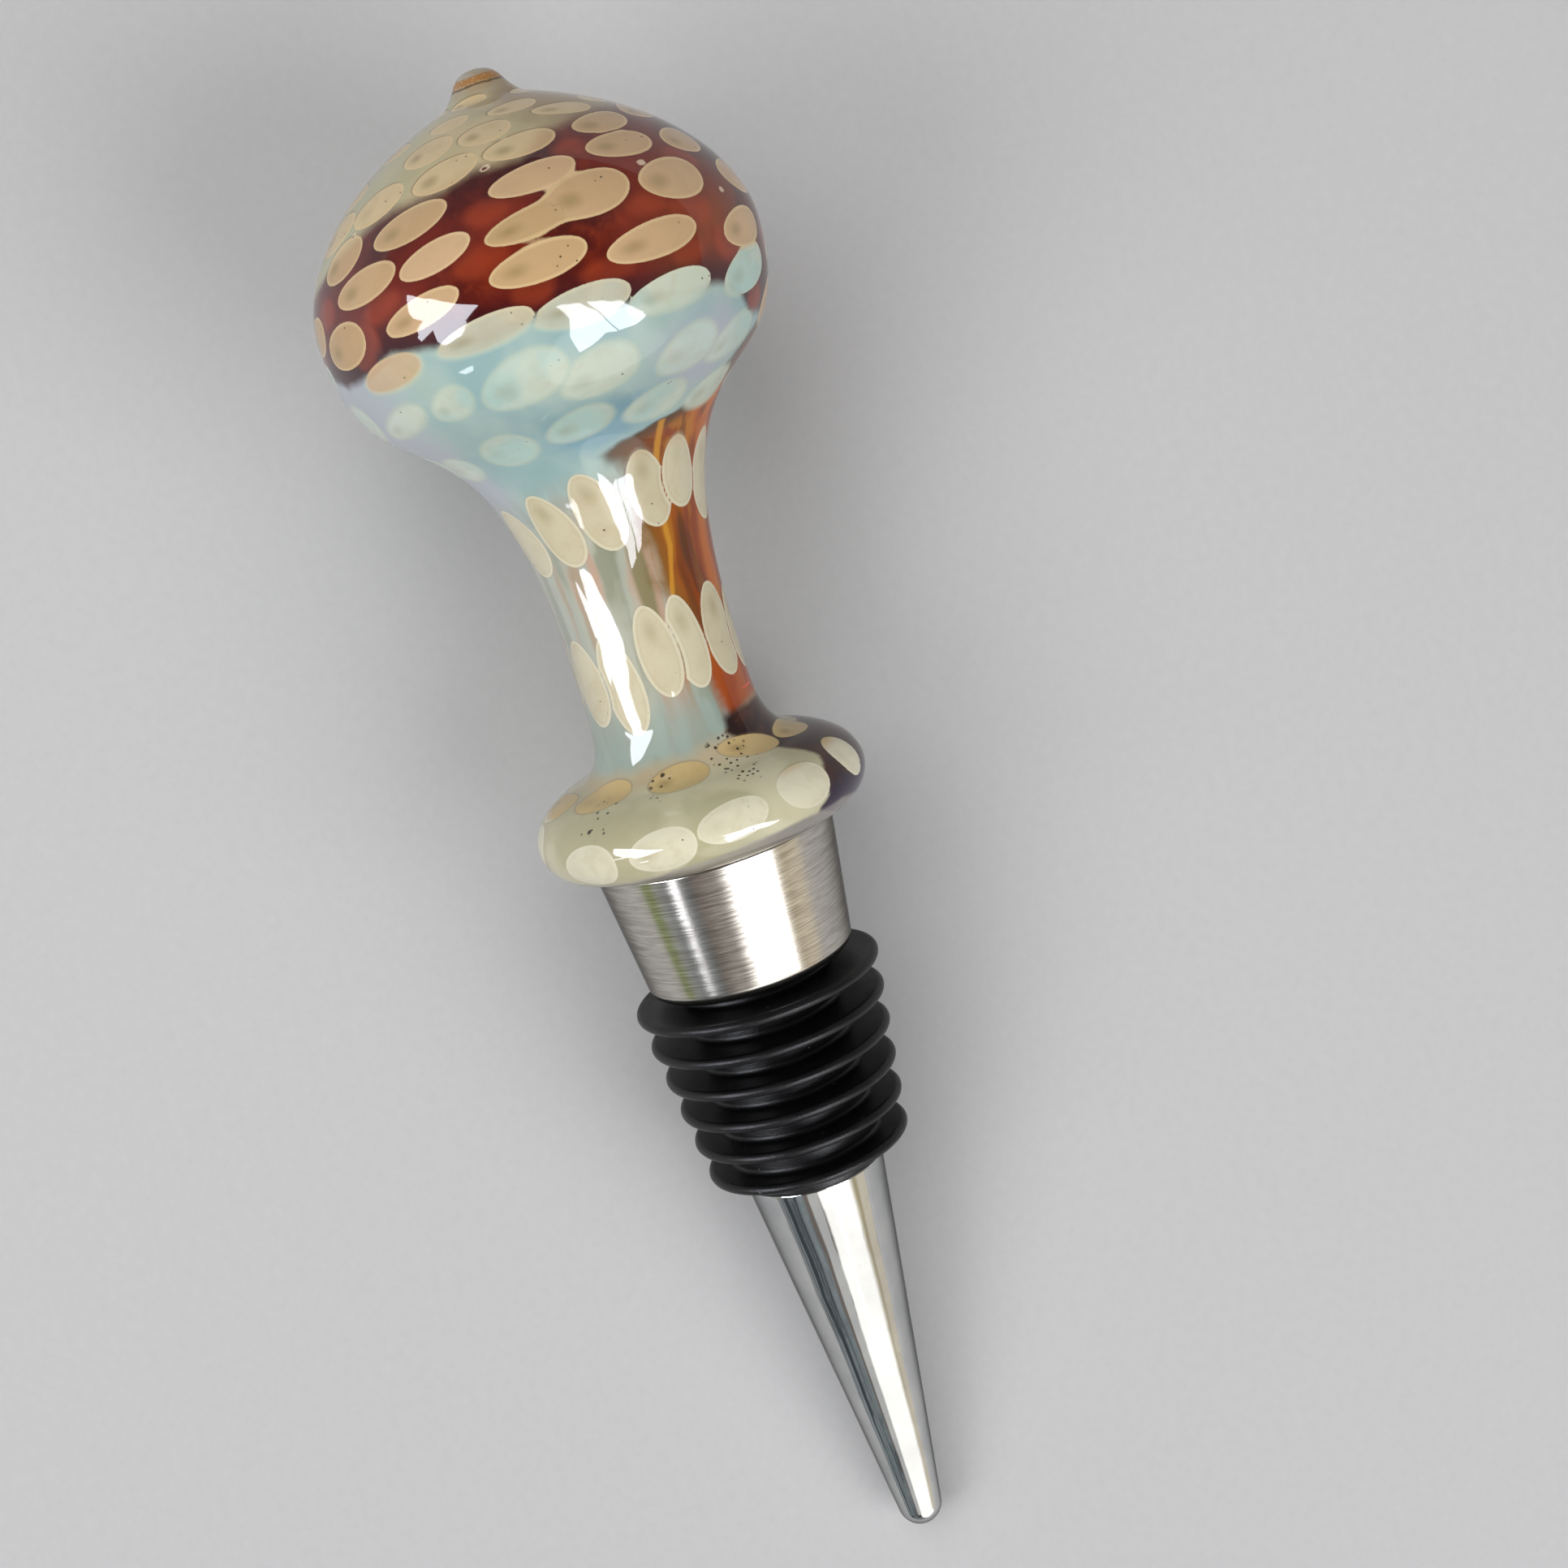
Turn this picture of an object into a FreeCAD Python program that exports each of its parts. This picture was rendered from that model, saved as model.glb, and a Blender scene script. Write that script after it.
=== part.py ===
import FreeCAD, Part
import os
from math import acos, asin, atan2, cos, degrees, radians, sin, tan

# Bottle stopper with a blown glass knob, lying at rest on a table.
# Each piece is drawn about one axis, with the knob's foot at height 0, the knob
# above it and the stopper below it, and the whole is then laid down.
# All sizes are in millimetres and degrees.

# glass knob: a hollow bulb drawn out into a neck and flared into a foot
knobLength = 76.4          # foot to the end of the sealed nub
bulbRadius = 21.65
bulbHeight = 56.4          # widest place of the bulb
bulbLower = 0.485          # how full the bulb is below that place
bulbUpper = 0.265          # how full it is above
crownRadius = 4.1          # where the crown meets the nub
crownHeight = 73.3
crownSlope = 18.0
crownFullness = 0.79
nubRadius = 2.4            # shoulder of the nub's sealed end
nubShoulder = 1.3          # height of that end
nubTaper = 32.0
nubHollow = 0.35           # how softly the crown turns up into the nub
nubFullness = 0.6          # how full the nub's end is
neckRadius = 8.2
neckHeight = 19.4          # narrowest place of the neck
neckSlimness = 0.855       # how long the neck stays slim on its way up
rimRadius = 16.85          # outside of the flared foot
rimRound = 3.35            # round of the rim, down to the flat underside
rimFullness = 0.64         # how full the rim is above its widest place
flareRadius = 12.2         # where the top of the foot turns up into the neck
flareHeight = 7.8
flareSlope = 12.0
flareFlat = 0.22           # how flat the top of the foot is outside that place
flareSweep = 0.38          # how wide it sweeps inside that place
neckSweep = 0.56           # how long the neck stays slim on its way down
wallThickness = 2.5        # blown wall of the bulb and the neck
boreMouthRadius = 6.4      # opening under the foot
boreMouthDepth = 2.0

# glued joint
glueThickness = 0.25
glueMargin = 1.0           # bare edge left round the glue

# stopper: one turned metal piece, with a collar, a core and a cone
collarRadius = 12.35       # at the joint
collarLength = 14.6        # joint to the collar's lower face
collarTaper = 7.1
collarEdge = 0.35          # broken edge at the joint
collarRound = 1.3          # rounded lower edge
coreRadius = 5.6           # under the sleeve
coneRadius = 7.25          # shoulder that keeps the sleeve on
tipRadius = 2.35           # rounded end of the cone
stopperLength = 79.4       # joint to the end of the cone

# rubber sleeve with sealing fins, stretched over the core
finCount = 6
finPitch = 3.67
finRadius = 12.7           # first fin, next to the collar
finTaper = 6.6             # how the fins get smaller towards the cone
finFromCollar = 1.7        # collar to the middle of the first rim
finThickness = 1.1         # at the round rim
finRoot = 1.7              # where the fin leaves the sleeve
finRise = 0.45             # how far the rim leans back towards the collar
finFillet = 0.35
sleeveWall = 2.0           # sleeve between the fins
sleeveTail = 2.2           # middle of the last rim to the sleeve's end

origin = FreeCAD.Vector(0, 0, 0)
axis = FreeCAD.Vector(0, 0, 1)


def at(radius, height):
    # point or step in the half section: away from the axis, along the axis
    return FreeCAD.Vector(radius, 0, height)


def towards(angle, length):
    # step of a length in a direction, counted from straight outwards
    return at(length * cos(radians(angle)), length * sin(radians(angle)))


def line(start, end):
    return Part.makeLine(start, end)


def arc(center, radius, fromAngle, toAngle):
    spots = [center + towards(angle, radius)
             for angle in (fromAngle, (fromAngle + toAngle) / 2, toAngle)]
    return Part.Arc(*spots).toShape()


def flow(start, leaving, arriving, end):
    # smooth stretch from start to end; both handles point the way of travel
    curve = Part.BezierCurve()
    curve.setPoles([start, start + leaving, end - arriving, end])
    return curve.toShape()


def touchAngle(point, center, radius, turn):
    # where on a circle the straight line from an outside point touches it
    away = point - center
    return degrees(atan2(away.z, away.x) + turn * acos(radius / away.Length))


def turned(edges):
    # solid of revolution of a closed half section
    return Part.Face(Part.Wire(edges)).revolve(origin, axis, 360)


def bulbOutline(inset, top, topSlope):
    # from the narrowest place of the neck over the widest place up to the top
    neck = at(neckRadius - inset, neckHeight)
    widest = at(bulbRadius - inset, bulbHeight)
    climb = bulbHeight - neckHeight
    rise = top.z - bulbHeight
    run = widest.x - top.x
    return [
        flow(neck, at(0, neckSlimness * climb), at(0, bulbLower * climb), widest),
        flow(widest, at(0, bulbUpper * rise), towards(180 - topSlope, crownFullness * run), top),
    ]


def makeKnobSkin():
    # outside of the knob, filled
    rimCenter = at(rimRadius - rimRound, rimRound)
    rim = at(rimRadius, rimRound)
    flare = at(flareRadius, flareHeight)
    neck = at(neckRadius, neckHeight)
    crown = at(crownRadius, crownHeight)
    nubSide = at(nubRadius, knobLength - nubShoulder)
    nubTop = at(0, knobLength)
    inwards = 180 - flareSlope
    nubSlope = 90 + nubTaper
    rimRise = flareHeight - rimRound
    neckRise = neckHeight - flareHeight
    nubStep = nubHollow * (crownRadius - nubRadius)
    edges = [
        line(origin, at(rimCenter.x, 0)),
        arc(rimCenter, rimRound, -90, 0),
        flow(rim, at(0, rimFullness * rimRise), towards(inwards, flareFlat * rimRise), flare),
        flow(flare, towards(inwards, flareSweep * neckRise), at(0, neckSweep * neckRise), neck),
    ]
    edges += bulbOutline(0, crown, crownSlope)
    edges += [
        flow(crown, towards(180 - crownSlope, nubStep), towards(nubSlope, nubStep), nubSide),
        flow(nubSide, towards(nubSlope, nubFullness * nubShoulder), at(-nubFullness * nubRadius, 0), nubTop),
        line(nubTop, origin),
    ]
    return turned(edges)


def makeKnobHollow():
    # the blown space inside: bulb, bore of the neck and mouth under the foot
    boreRadius = neckRadius - wallThickness
    mouth = at(boreMouthRadius, 0)
    boreFoot = at(boreRadius, boreMouthDepth)
    ceiling = at(0, crownHeight - wallThickness)
    edges = [
        line(origin, mouth),
        line(mouth, boreFoot),
        line(boreFoot, at(boreRadius, neckHeight)),
    ]
    edges += bulbOutline(wallThickness, ceiling, 0)
    edges.append(line(ceiling, origin))
    return turned(edges)


def makeGlassKnob():
    return makeKnobSkin().cut(makeKnobHollow())


def makeGlueDisc():
    return Part.makeCylinder(collarRadius - glueMargin, glueThickness, at(0, -glueThickness), axis)


def finHeight(index):
    return -(collarLength + finFromCollar + index * finPitch)


def finRim(index):
    # middle of the round at the rim of a fin
    outside = finRadius - index * finPitch * tan(radians(finTaper))
    return at(outside - finThickness / 2, finHeight(index))


def sleeveEnd():
    return finHeight(finCount - 1) - sleeveTail


def makeMetalStopper():
    lean = radians(collarTaper)
    joint = -glueThickness
    roundHeight = collarRound - collarLength
    sideRadius = collarRadius + roundHeight * tan(lean)
    roundCenter = at(sideRadius - collarRound / cos(lean), roundHeight)
    edgeRadius = collarRadius - (glueThickness + collarEdge) * tan(lean)
    topEdge = at(edgeRadius - collarEdge, joint)
    sideEdge = at(edgeRadius, joint - collarEdge)
    shoulder = at(coneRadius, sleeveEnd())
    tipCenter = at(0, tipRadius - stopperLength)
    tipAngle = touchAngle(shoulder, tipCenter, tipRadius, -1)
    edges = [
        line(at(0, joint), topEdge),
        line(topEdge, sideEdge),
        line(sideEdge, roundCenter + towards(-collarTaper, collarRound)),
        arc(roundCenter, collarRound, -collarTaper, -90),
        line(at(roundCenter.x, -collarLength), at(coreRadius, -collarLength)),
        line(at(coreRadius, -collarLength), at(coreRadius, shoulder.z)),
        line(at(coreRadius, shoulder.z), shoulder),
        line(shoulder, tipCenter + towards(tipAngle, tipRadius)),
        arc(tipCenter, tipRadius, tipAngle, -90),
        line(at(0, -stopperLength), at(0, joint)),
    ]
    return turned(edges)


def finOutline(index, sleeveRadius):
    # upper face, round rim and lower face of one fin
    rim = finThickness / 2
    center = finRim(index)
    rootHeight = center.z - finRise
    upper = at(sleeveRadius, rootHeight + finRoot / 2)
    lower = at(sleeveRadius, rootHeight - finRoot / 2)
    upperAngle = touchAngle(upper, center, rim, -1)
    lowerAngle = touchAngle(lower, center, rim, 1)
    rimArc = arc(center, rim, upperAngle, lowerAngle)
    return upper, lower, [
        line(upper, center + towards(upperAngle, rim)),
        rimArc,
        line(center + towards(lowerAngle, rim), lower),
    ]


def makeRubberSleeve():
    sleeveRadius = coreRadius + sleeveWall
    top = -collarLength
    end = sleeveEnd()
    edges = [line(at(coreRadius, top), at(sleeveRadius, top))]
    last = at(sleeveRadius, top)
    for index in range(finCount):
        upper, lower, fin = finOutline(index, sleeveRadius)
        edges.append(line(last, upper))
        edges += fin
        last = lower
    edges += [
        line(last, at(sleeveRadius, end)),
        line(at(sleeveRadius, end), at(coreRadius, end)),
        line(at(coreRadius, end), at(coreRadius, top)),
    ]
    sleeve = turned(edges)
    roots = [edge for edge in sleeve.Edges if isFinRoot(edge, sleeveRadius, top, end)]
    return sleeve.makeFillet(finFillet, roots)


def isFinRoot(edge, sleeveRadius, top, end):
    # the circles where a fin's faces leave the sleeve
    box = edge.BoundBox
    level = box.ZLength < 0.01
    onSleeve = abs(box.XMax - sleeveRadius) < 0.01
    return level and onSleeve and end + 0.01 < box.ZMin < top - 0.01


def dipOnto(center, radius):
    # how far the axis dips when the foot's rim and this circle share the table
    rimCenter = at(rimRadius - rimRound, rimRound)
    between = rimCenter - center
    return atan2(between.x, between.z) + asin((rimRound - radius) / between.Length)


def restPlacement(pieces):
    # the knob is lighter than the stopper, so the foot's rim rests on the table
    # with the first thing that the stopper's side brings down to it
    supports = [(at(0, tipRadius - stopperLength), tipRadius)]
    supports += [(finRim(index), finThickness / 2) for index in range(finCount)]
    dip = min(dipOnto(center, radius) for center, radius in supports)
    lift = rimRound + (rimRadius - rimRound) * cos(dip) - rimRound * sin(dip)
    rotation = FreeCAD.Rotation(
        FreeCAD.Vector(-sin(dip), 0, cos(dip)),
        FreeCAD.Vector(0, -1, 0),
        FreeCAD.Vector(cos(dip), 0, sin(dip)),
        "ZXY",
    )
    laid = FreeCAD.Placement(FreeCAD.Vector(0, 0, lift), rotation)
    boxes = []
    for piece in pieces:
        trial = piece.copy()
        trial.Placement = laid
        boxes.append(trial.optimalBoundingBox(False, False))
    middle = (min(box.XMin for box in boxes) + max(box.XMax for box in boxes)) / 2
    return FreeCAD.Placement(FreeCAD.Vector(-middle, 0, lift), rotation)


nodes = {
    "glass_knob": makeGlassKnob(),
    "glue_disc": makeGlueDisc(),
    "metal_stopper": makeMetalStopper(),
    "rubber_sleeve": makeRubberSleeve(),
}
placement = restPlacement(nodes.values())
os.makedirs("parts", exist_ok=True)
for name, piece in nodes.items():
    piece.Placement = placement
    piece.exportStep("parts/" + name + ".step")
    print(name, "volume %.0f" % piece.Volume, "valid", piece.isValid())
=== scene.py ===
from math import acos, atan2, ceil, cos, degrees, pi, radians, sin, tan
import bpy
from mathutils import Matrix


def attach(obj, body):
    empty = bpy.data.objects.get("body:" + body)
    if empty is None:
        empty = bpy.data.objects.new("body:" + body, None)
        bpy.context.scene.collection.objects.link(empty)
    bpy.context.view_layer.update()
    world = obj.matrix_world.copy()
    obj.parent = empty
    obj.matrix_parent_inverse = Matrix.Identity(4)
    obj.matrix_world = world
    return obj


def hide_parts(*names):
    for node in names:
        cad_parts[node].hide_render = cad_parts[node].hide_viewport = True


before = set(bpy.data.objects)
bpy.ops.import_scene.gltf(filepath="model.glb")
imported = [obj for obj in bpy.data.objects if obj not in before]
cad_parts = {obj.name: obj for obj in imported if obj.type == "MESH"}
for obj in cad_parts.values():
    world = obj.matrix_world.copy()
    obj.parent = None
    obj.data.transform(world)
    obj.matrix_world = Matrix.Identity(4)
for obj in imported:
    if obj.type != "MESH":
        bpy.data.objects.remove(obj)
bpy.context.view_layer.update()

from types import SimpleNamespace

import bpy
import numpy as np
from mathutils import Matrix, Vector

# A wine stopper with a blown glass knob, lying on a pale table.
# Every piece is drawn in millimetres about one axis, as (radius, height) with the
# knob's foot at height 0, the nub above it and the metal below it. Angles go round
# the axis: 0 is the upper side, 90 the side towards -Y.


print("frame loaded", sorted(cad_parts))

lying = {
    "dip": 9.430328,                     # degrees that the axis dips towards the metal end
    "foot": (1.46727, 0, 16.118664),     # middle of the foot's flat face
}
# the three directions of a piece's own frame
dip = radians(lying["dip"])
acrossUp = np.array([-sin(dip), 0, cos(dip)])
acrossSide = np.array([0, -1.0, 0])
along = np.array([cos(dip), 0, sin(dip)])


# Outlines in the half section

def towards(angle, length):
    # step (length cos angle, length sin angle)
    return np.array([cos(radians(angle)), sin(radians(angle))]) * length


def flow(start, leaving, arriving, end, steps):
    # cubic Bezier through start, start + leaving, end - arriving, end
    poles = [np.array(start, float), start + leaving, end - arriving, np.array(end, float)]
    t = np.linspace(0, 1, steps + 1)[:, None]
    shares = [(1 - t) ** 3, 3 * (1 - t) ** 2 * t, 3 * (1 - t) * t ** 2, t ** 3]
    return sum(share * pole for share, pole in zip(shares, poles))


def arc(center, radius, fromAngle, toAngle, steps):
    # center + radius (cos angle, sin angle), the angle in even steps
    angles = np.linspace(fromAngle, toAngle, steps + 1)
    return np.array([center + towards(angle, radius) for angle in angles])


def touch(spot, center, radius, way):
    # where on a circle the straight line from a spot outside it touches: the angle of
    # the spot from the centre, turned by the arc cosine of radius / distance
    away = spot - center
    return degrees(atan2(away[1], away[0]) + way * acos(radius / np.linalg.norm(away)))


def run(start, end, spacing, hold=0.05):
    # straight stretch in even steps, with one point close to each end to hold its shading
    start, end = np.array(start, float), np.array(end, float)
    length = np.linalg.norm(end - start)
    if length < 4 * hold:
        return np.array([start, end])
    shares = np.linspace(0, 1, max(1, ceil(length / spacing)) + 1)
    shares = np.sort(np.concatenate([shares, [hold / length, 1 - hold / length]]))
    return start + (end - start) * shares[:, None]


def bent(places, spacing, closed=False):
    # corners (radius, height, round): each corner is replaced by the arc of that round
    # that touches both straight runs, its reach being round * tan(half the turn)
    count = len(places)
    spots = [np.array(place[:2], float) for place in places]
    pieces = []
    for i, place in enumerate(places):
        inner = closed or 0 < i < count - 1
        before, here, after = spots[i - 1], spots[i], spots[(i + 1) % count]
        if not inner or place[2] == 0:
            pieces.append(np.array([here]))
            continue
        into = (here - before) / np.linalg.norm(here - before)
        out = (after - here) / np.linalg.norm(after - here)
        turn = acos(float(np.clip(into @ out, -1, 1)))
        reach = place[2] * tan(turn / 2)
        bisector = (out - into) / np.linalg.norm(out - into)
        middle = here + bisector * place[2] / cos(turn / 2)
        first = here - into * reach - middle
        angle = degrees(atan2(first[1], first[0]))
        way = 1 if into[0] * out[1] - into[1] * out[0] > 0 else -1
        steps = max(3, ceil(degrees(turn) / 12))
        pieces.append(arc(middle, place[2], angle, angle + way * degrees(turn), steps))
    outline = [pieces[0]]
    for i in range(1, count):
        outline.append(run(pieces[i - 1][-1], pieces[i][0], spacing)[1:-1])
        outline.append(pieces[i])
    if closed:
        outline.append(run(pieces[-1][-1], pieces[0][0], spacing)[1:-1])
    return np.concatenate(outline)


# Pieces turned about the axis

class Turned:
    # grid of an outline carried round the axis: (radius cos turn, radius sin turn, height),
    # with one point kept of a row that lies on the axis. way is the length along the outline.
    def __init__(self, outline, columns, closed=False):
        rows = len(outline)
        self.turn = np.tile(np.linspace(-180, 180, columns, endpoint=False), (rows, 1))
        self.radius = np.tile(outline[:, :1], (1, columns))
        self.high = np.tile(outline[:, 1:], (1, columns))
        stretch = np.linalg.norm(np.diff(outline, axis=0), axis=1)
        self.way = np.tile(np.concatenate([[0], np.cumsum(stretch)])[:, None], (1, columns))
        self.keep = np.ones((rows, columns), bool)
        if not closed:
            self.keep[0, 1:] = self.keep[-1, 1:] = False
        angle = np.radians(self.turn)
        upward, sideward = self.radius * np.cos(angle), self.radius * np.sin(angle)
        self.own = np.stack([upward, sideward, self.high], -1)
        self.closed = closed

    def faces(self):
        # a quad between neighbours in each row and column, triangles round the two poles
        rows, columns = self.keep.shape
        index = np.cumsum(self.keep.ravel()).reshape(rows, columns) - 1
        if not self.closed:
            index[0, :] = index[0, 0]
            index[-1, :] = index[-1, 0]
        above = np.roll(index, -1, axis=0)
        if not self.closed:
            index, above = index[:-1], above[:-1]
        quads = np.stack([index, np.roll(index, -1, axis=1), np.roll(above, -1, axis=1), above], -1)
        if self.closed:
            return quads.reshape(-1, 4).tolist()
        foot, body, top = quads[0], quads[1:-1], quads[-1]
        poles = foot[:, [0, 2, 3]].tolist(), top[:, [0, 1, 2]].tolist()
        return poles[0] + body.reshape(-1, 4).tolist() + poles[1]

    def piece(self, name, material, fields, node):
        # own place (x, y, z) to foot + x up + y side + z along, in metres
        points = self.own[self.keep]
        places = np.array(lying["foot"]) + points @ np.stack([acrossUp, acrossSide, along])
        mesh = bpy.data.meshes.new(name)
        mesh.from_pydata((places / 1000).tolist(), [], self.faces())
        mesh.polygons.foreach_set("use_smooth", np.ones(len(mesh.polygons), bool))
        store(mesh, "own", points)
        for field, values in fields.items():
            store(mesh, field, values[self.keep])
        mesh.materials.append(material)
        made = added(name, mesh)
        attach(made, "root")
        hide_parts(node)
        print(name, "faces", len(mesh.polygons))


def added(name, data):
    # object in the scene
    made = bpy.data.objects.new(name, data)
    bpy.context.scene.collection.objects.link(made)
    return made


def store(mesh, name, values):
    # one number or one vector on each point, for the material to read
    kind, part = ("FLOAT_VECTOR", "vector") if values.ndim == 2 else ("FLOAT", "value")
    field = mesh.attributes.new(name, kind, "POINT")
    field.data.foreach_set(part, values.astype(np.float32).ravel())


# Materials as plain arithmetic

class Wire:
    # an output socket, and what is made of it; each operator adds one Math node
    def __init__(self, paint, socket):
        self.paint = paint
        self.socket = socket

    def __add__(self, other):
        return self.paint.math("ADD", self, other)

    def __radd__(self, other):
        return self.paint.math("ADD", other, self)

    def __sub__(self, other):
        return self.paint.math("SUBTRACT", self, other)

    def __rsub__(self, other):
        return self.paint.math("SUBTRACT", other, self)

    def __mul__(self, other):
        return self.paint.math("MULTIPLY", self, other)

    def __rmul__(self, other):
        return self.paint.math("MULTIPLY", other, self)

    def rise(self, low, high):
        # smooth step from 0 at low to 1 at high; falls where low is above high
        if low > high:
            return 1 - self.rise(high, low)
        settings = {"interpolation_type": "SMOOTHSTEP"}
        sockets = {0: self, 1: low, 2: high, 3: 0.0, 4: 1.0}
        return self.paint.node("ShaderNodeMapRange", settings, sockets)

    def torn(self, haze, share, low, high):
        # rise with an uneven border: of value + (haze - 0.5) * share
        return (self + (haze - 0.5) * share).rise(low, high)

    def near(self, reach, core):
        # 1 within core of 0 on either side, 0 beyond reach
        return self.paint.math("ABSOLUTE", self).rise(reach, core)

    def blend(self, first, second):
        # first where this share is 0, second where it is 1; colours as hex or as wires
        colours = [tone(value) if isinstance(value, str) else value for value in (first, second)]
        sockets = {0: self, 6: colours[0], 7: colours[1]}
        return self.paint.node("ShaderNodeMix", {"data_type": "RGBA"}, sockets, 2)

    def coats(self, layers):
        # (share, colour) after (share, colour) laid over this colour
        base = self
        for share, colour in layers:
            base = share.blend(base, colour)
        return base

    # the next five are for a vector

    def height(self):
        # its third part
        return self.paint.node("ShaderNodeSeparateXYZ", {}, {0: self}, 2)

    def scaled(self, shares):
        # each part times its share
        return self.paint.vector("MULTIPLY", self, shares)

    def moved(self, step):
        # vector + step
        return self.paint.vector("ADD", self, step)

    def noise(self, scale, detail, rough=0.5, output=0):
        # cloudy value round 0.5; with output 1 a vector of three
        sockets = {"Vector": self, "Scale": scale, "Detail": detail, "Roughness": rough}
        return self.paint.node("ShaderNodeTexNoise", {}, sockets, output)

    def cells(self, scale):
        # distance to the nearest of scattered points
        sockets = {"Vector": self, "Scale": scale}
        return self.paint.node("ShaderNodeTexVoronoi", {}, sockets, "Distance")


def tone(code):
    # hex colour to linear light: ((s + 0.055) / 1.055) ** 2.4 above 0.04045
    parts = [int(code[i:i + 2], 16) / 255 for i in (1, 3, 5)]
    return [s / 12.92 if s <= 0.04045 else ((s + 0.055) / 1.055) ** 2.4 for s in parts] + [1]


class Paint:
    # a node tree that is written as expressions
    def __init__(self, tree):
        self.tree = tree

    def node(self, kind, settings, values, output=0):
        # a node with its settings first, then the values or links of its sockets
        made = self.tree.nodes.new(kind)
        for key, value in settings.items():
            setattr(made, key, value)
        for key, value in values.items():
            self.feed(made.inputs[key], value)
        return Wire(self, made.outputs[output])

    def feed(self, socket, value):
        # link a wire, or write a value
        if isinstance(value, Wire):
            self.tree.links.new(value.socket, socket)
        else:
            socket.default_value = value

    def math(self, operation, *values):
        # one Math node
        return self.node("ShaderNodeMath", {"operation": operation}, dict(enumerate(values)))

    def field(self, name, output="Fac"):
        # number stored on the points, or with Vector a vector: own is the place in the
        # piece's own frame, in millimetres from the middle of the foot
        return self.node("ShaderNodeAttribute", {"attribute_name": name}, {}, output)

    def vector(self, operation, *values, output="Vector"):
        # one Vector Math node
        settings = {"operation": operation}
        return self.node("ShaderNodeVectorMath", settings, dict(enumerate(values)), output)

    def coordinates(self, kind):
        # place of a point in metres, or on a world the way looked
        return self.node("ShaderNodeTexCoord", {}, {}, kind)

    def ray(self, kind):
        # 1 for a ray of that kind
        return self.node("ShaderNodeLightPath", {}, {}, kind)

    def bump(self, height, distance, strength=1.0, normal=None):
        # relief of the given height in metres
        values = {"Height": height, "Distance": distance, "Strength": strength}
        if normal:
            values["Normal"] = normal
        return self.node("ShaderNodeBump", {}, values)


def finish(name, constants, build):
    # a Principled material: constants go on its sockets, build returns what varies
    material = bpy.data.materials.new(name)
    material.use_nodes = True
    shader = material.node_tree.nodes["Principled BSDF"]
    for key, value in constants.items():
        shader.inputs[key].default_value = value
    paint = Paint(material.node_tree)
    for key, value in build(paint).items():
        paint.feed(shader.inputs[key], value)
    return material


# Camera: almost straight down, the nub towards the top of the picture

view = {"lens": 59.63, "place": (0.02248, -0.00837, 0.27415), "tilt": 4.12, "spin": -106.88}
camera = added("camera", bpy.data.cameras.new("camera"))
camera.data.sensor_width = 36
camera.data.lens = view["lens"]
camera.data.clip_start = 0.01
tilt = Matrix.Rotation(radians(view["tilt"]), 4, "Y")
spin = Matrix.Rotation(radians(view["spin"]), 4, "Z")
camera.matrix_world = Matrix.Translation(view["place"]) @ (tilt @ spin)
bpy.context.scene.camera = camera


# Glass knob

# Points of the outline, and the handles with which a curve comes in there and goes out:
# a length where it runs along or across the axis, else (way in degrees, length)
knob = {
    "columns": 384,
    "rimCenter": (13.5, 3.35), "rimRound": 3.35, "rimOut": 0.64 * 4.45,
    "flare": (12.2, 7.8), "flareIn": (168, 0.22 * 4.45), "flareOut": (168, 0.38 * 11.6),
    "neck": (8.2, 19.4), "neckIn": 0.56 * 11.6, "neckOut": 0.855 * 37,
    "widest": (21.65, 56.4), "widestIn": 0.485 * 37, "widestOut": 0.265 * 16.9,
    "crown": (4.1, 73.3), "crownIn": (162, 0.79 * 17.55), "crownOut": (162, 0.35 * 1.7),
    "nub": (2.4, 75.1), "nubIn": (122, 0.35 * 1.7), "nubOut": (122, 0.6 * 1.3),
    "top": (0, 76.4), "topIn": 0.6 * 2.4,
    "dotGap": 0.18,       # mm left between neighbouring dots
    "dotMerge": 0.4,      # mm over which a merged dot runs together with its neighbour
}


def knobOutline():
    # flat foot and rim arc, then Bezier curves up the flare, neck, bulb, crown and nub
    center = np.array(knob["rimCenter"])
    rim = center + (knob["rimRound"], 0)
    up = np.array([0, 1.0])
    stretches = [
        run((0, 0), (knob["rimCenter"][0], 0), 3),
        arc(center, knob["rimRound"], -90, 0, 14),
        flow(rim, up * knob["rimOut"], towards(*knob["flareIn"]), knob["flare"], 18),
        flow(knob["flare"], towards(*knob["flareOut"]), up * knob["neckIn"], knob["neck"], 32),
        flow(knob["neck"], up * knob["neckOut"], up * knob["widestIn"], knob["widest"], 94),
        flow(knob["widest"], up * knob["widestOut"], towards(*knob["crownIn"]), knob["crown"], 64),
        flow(knob["crown"], towards(*knob["crownOut"]), towards(*knob["nubIn"]), knob["nub"], 9),
        flow(knob["nub"], towards(*knob["nubOut"]), np.array([-knob["topIn"], 0]), knob["top"], 10),
    ]
    return np.concatenate([stretches[0]] + [stretch[1:] for stretch in stretches[1:]])


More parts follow.
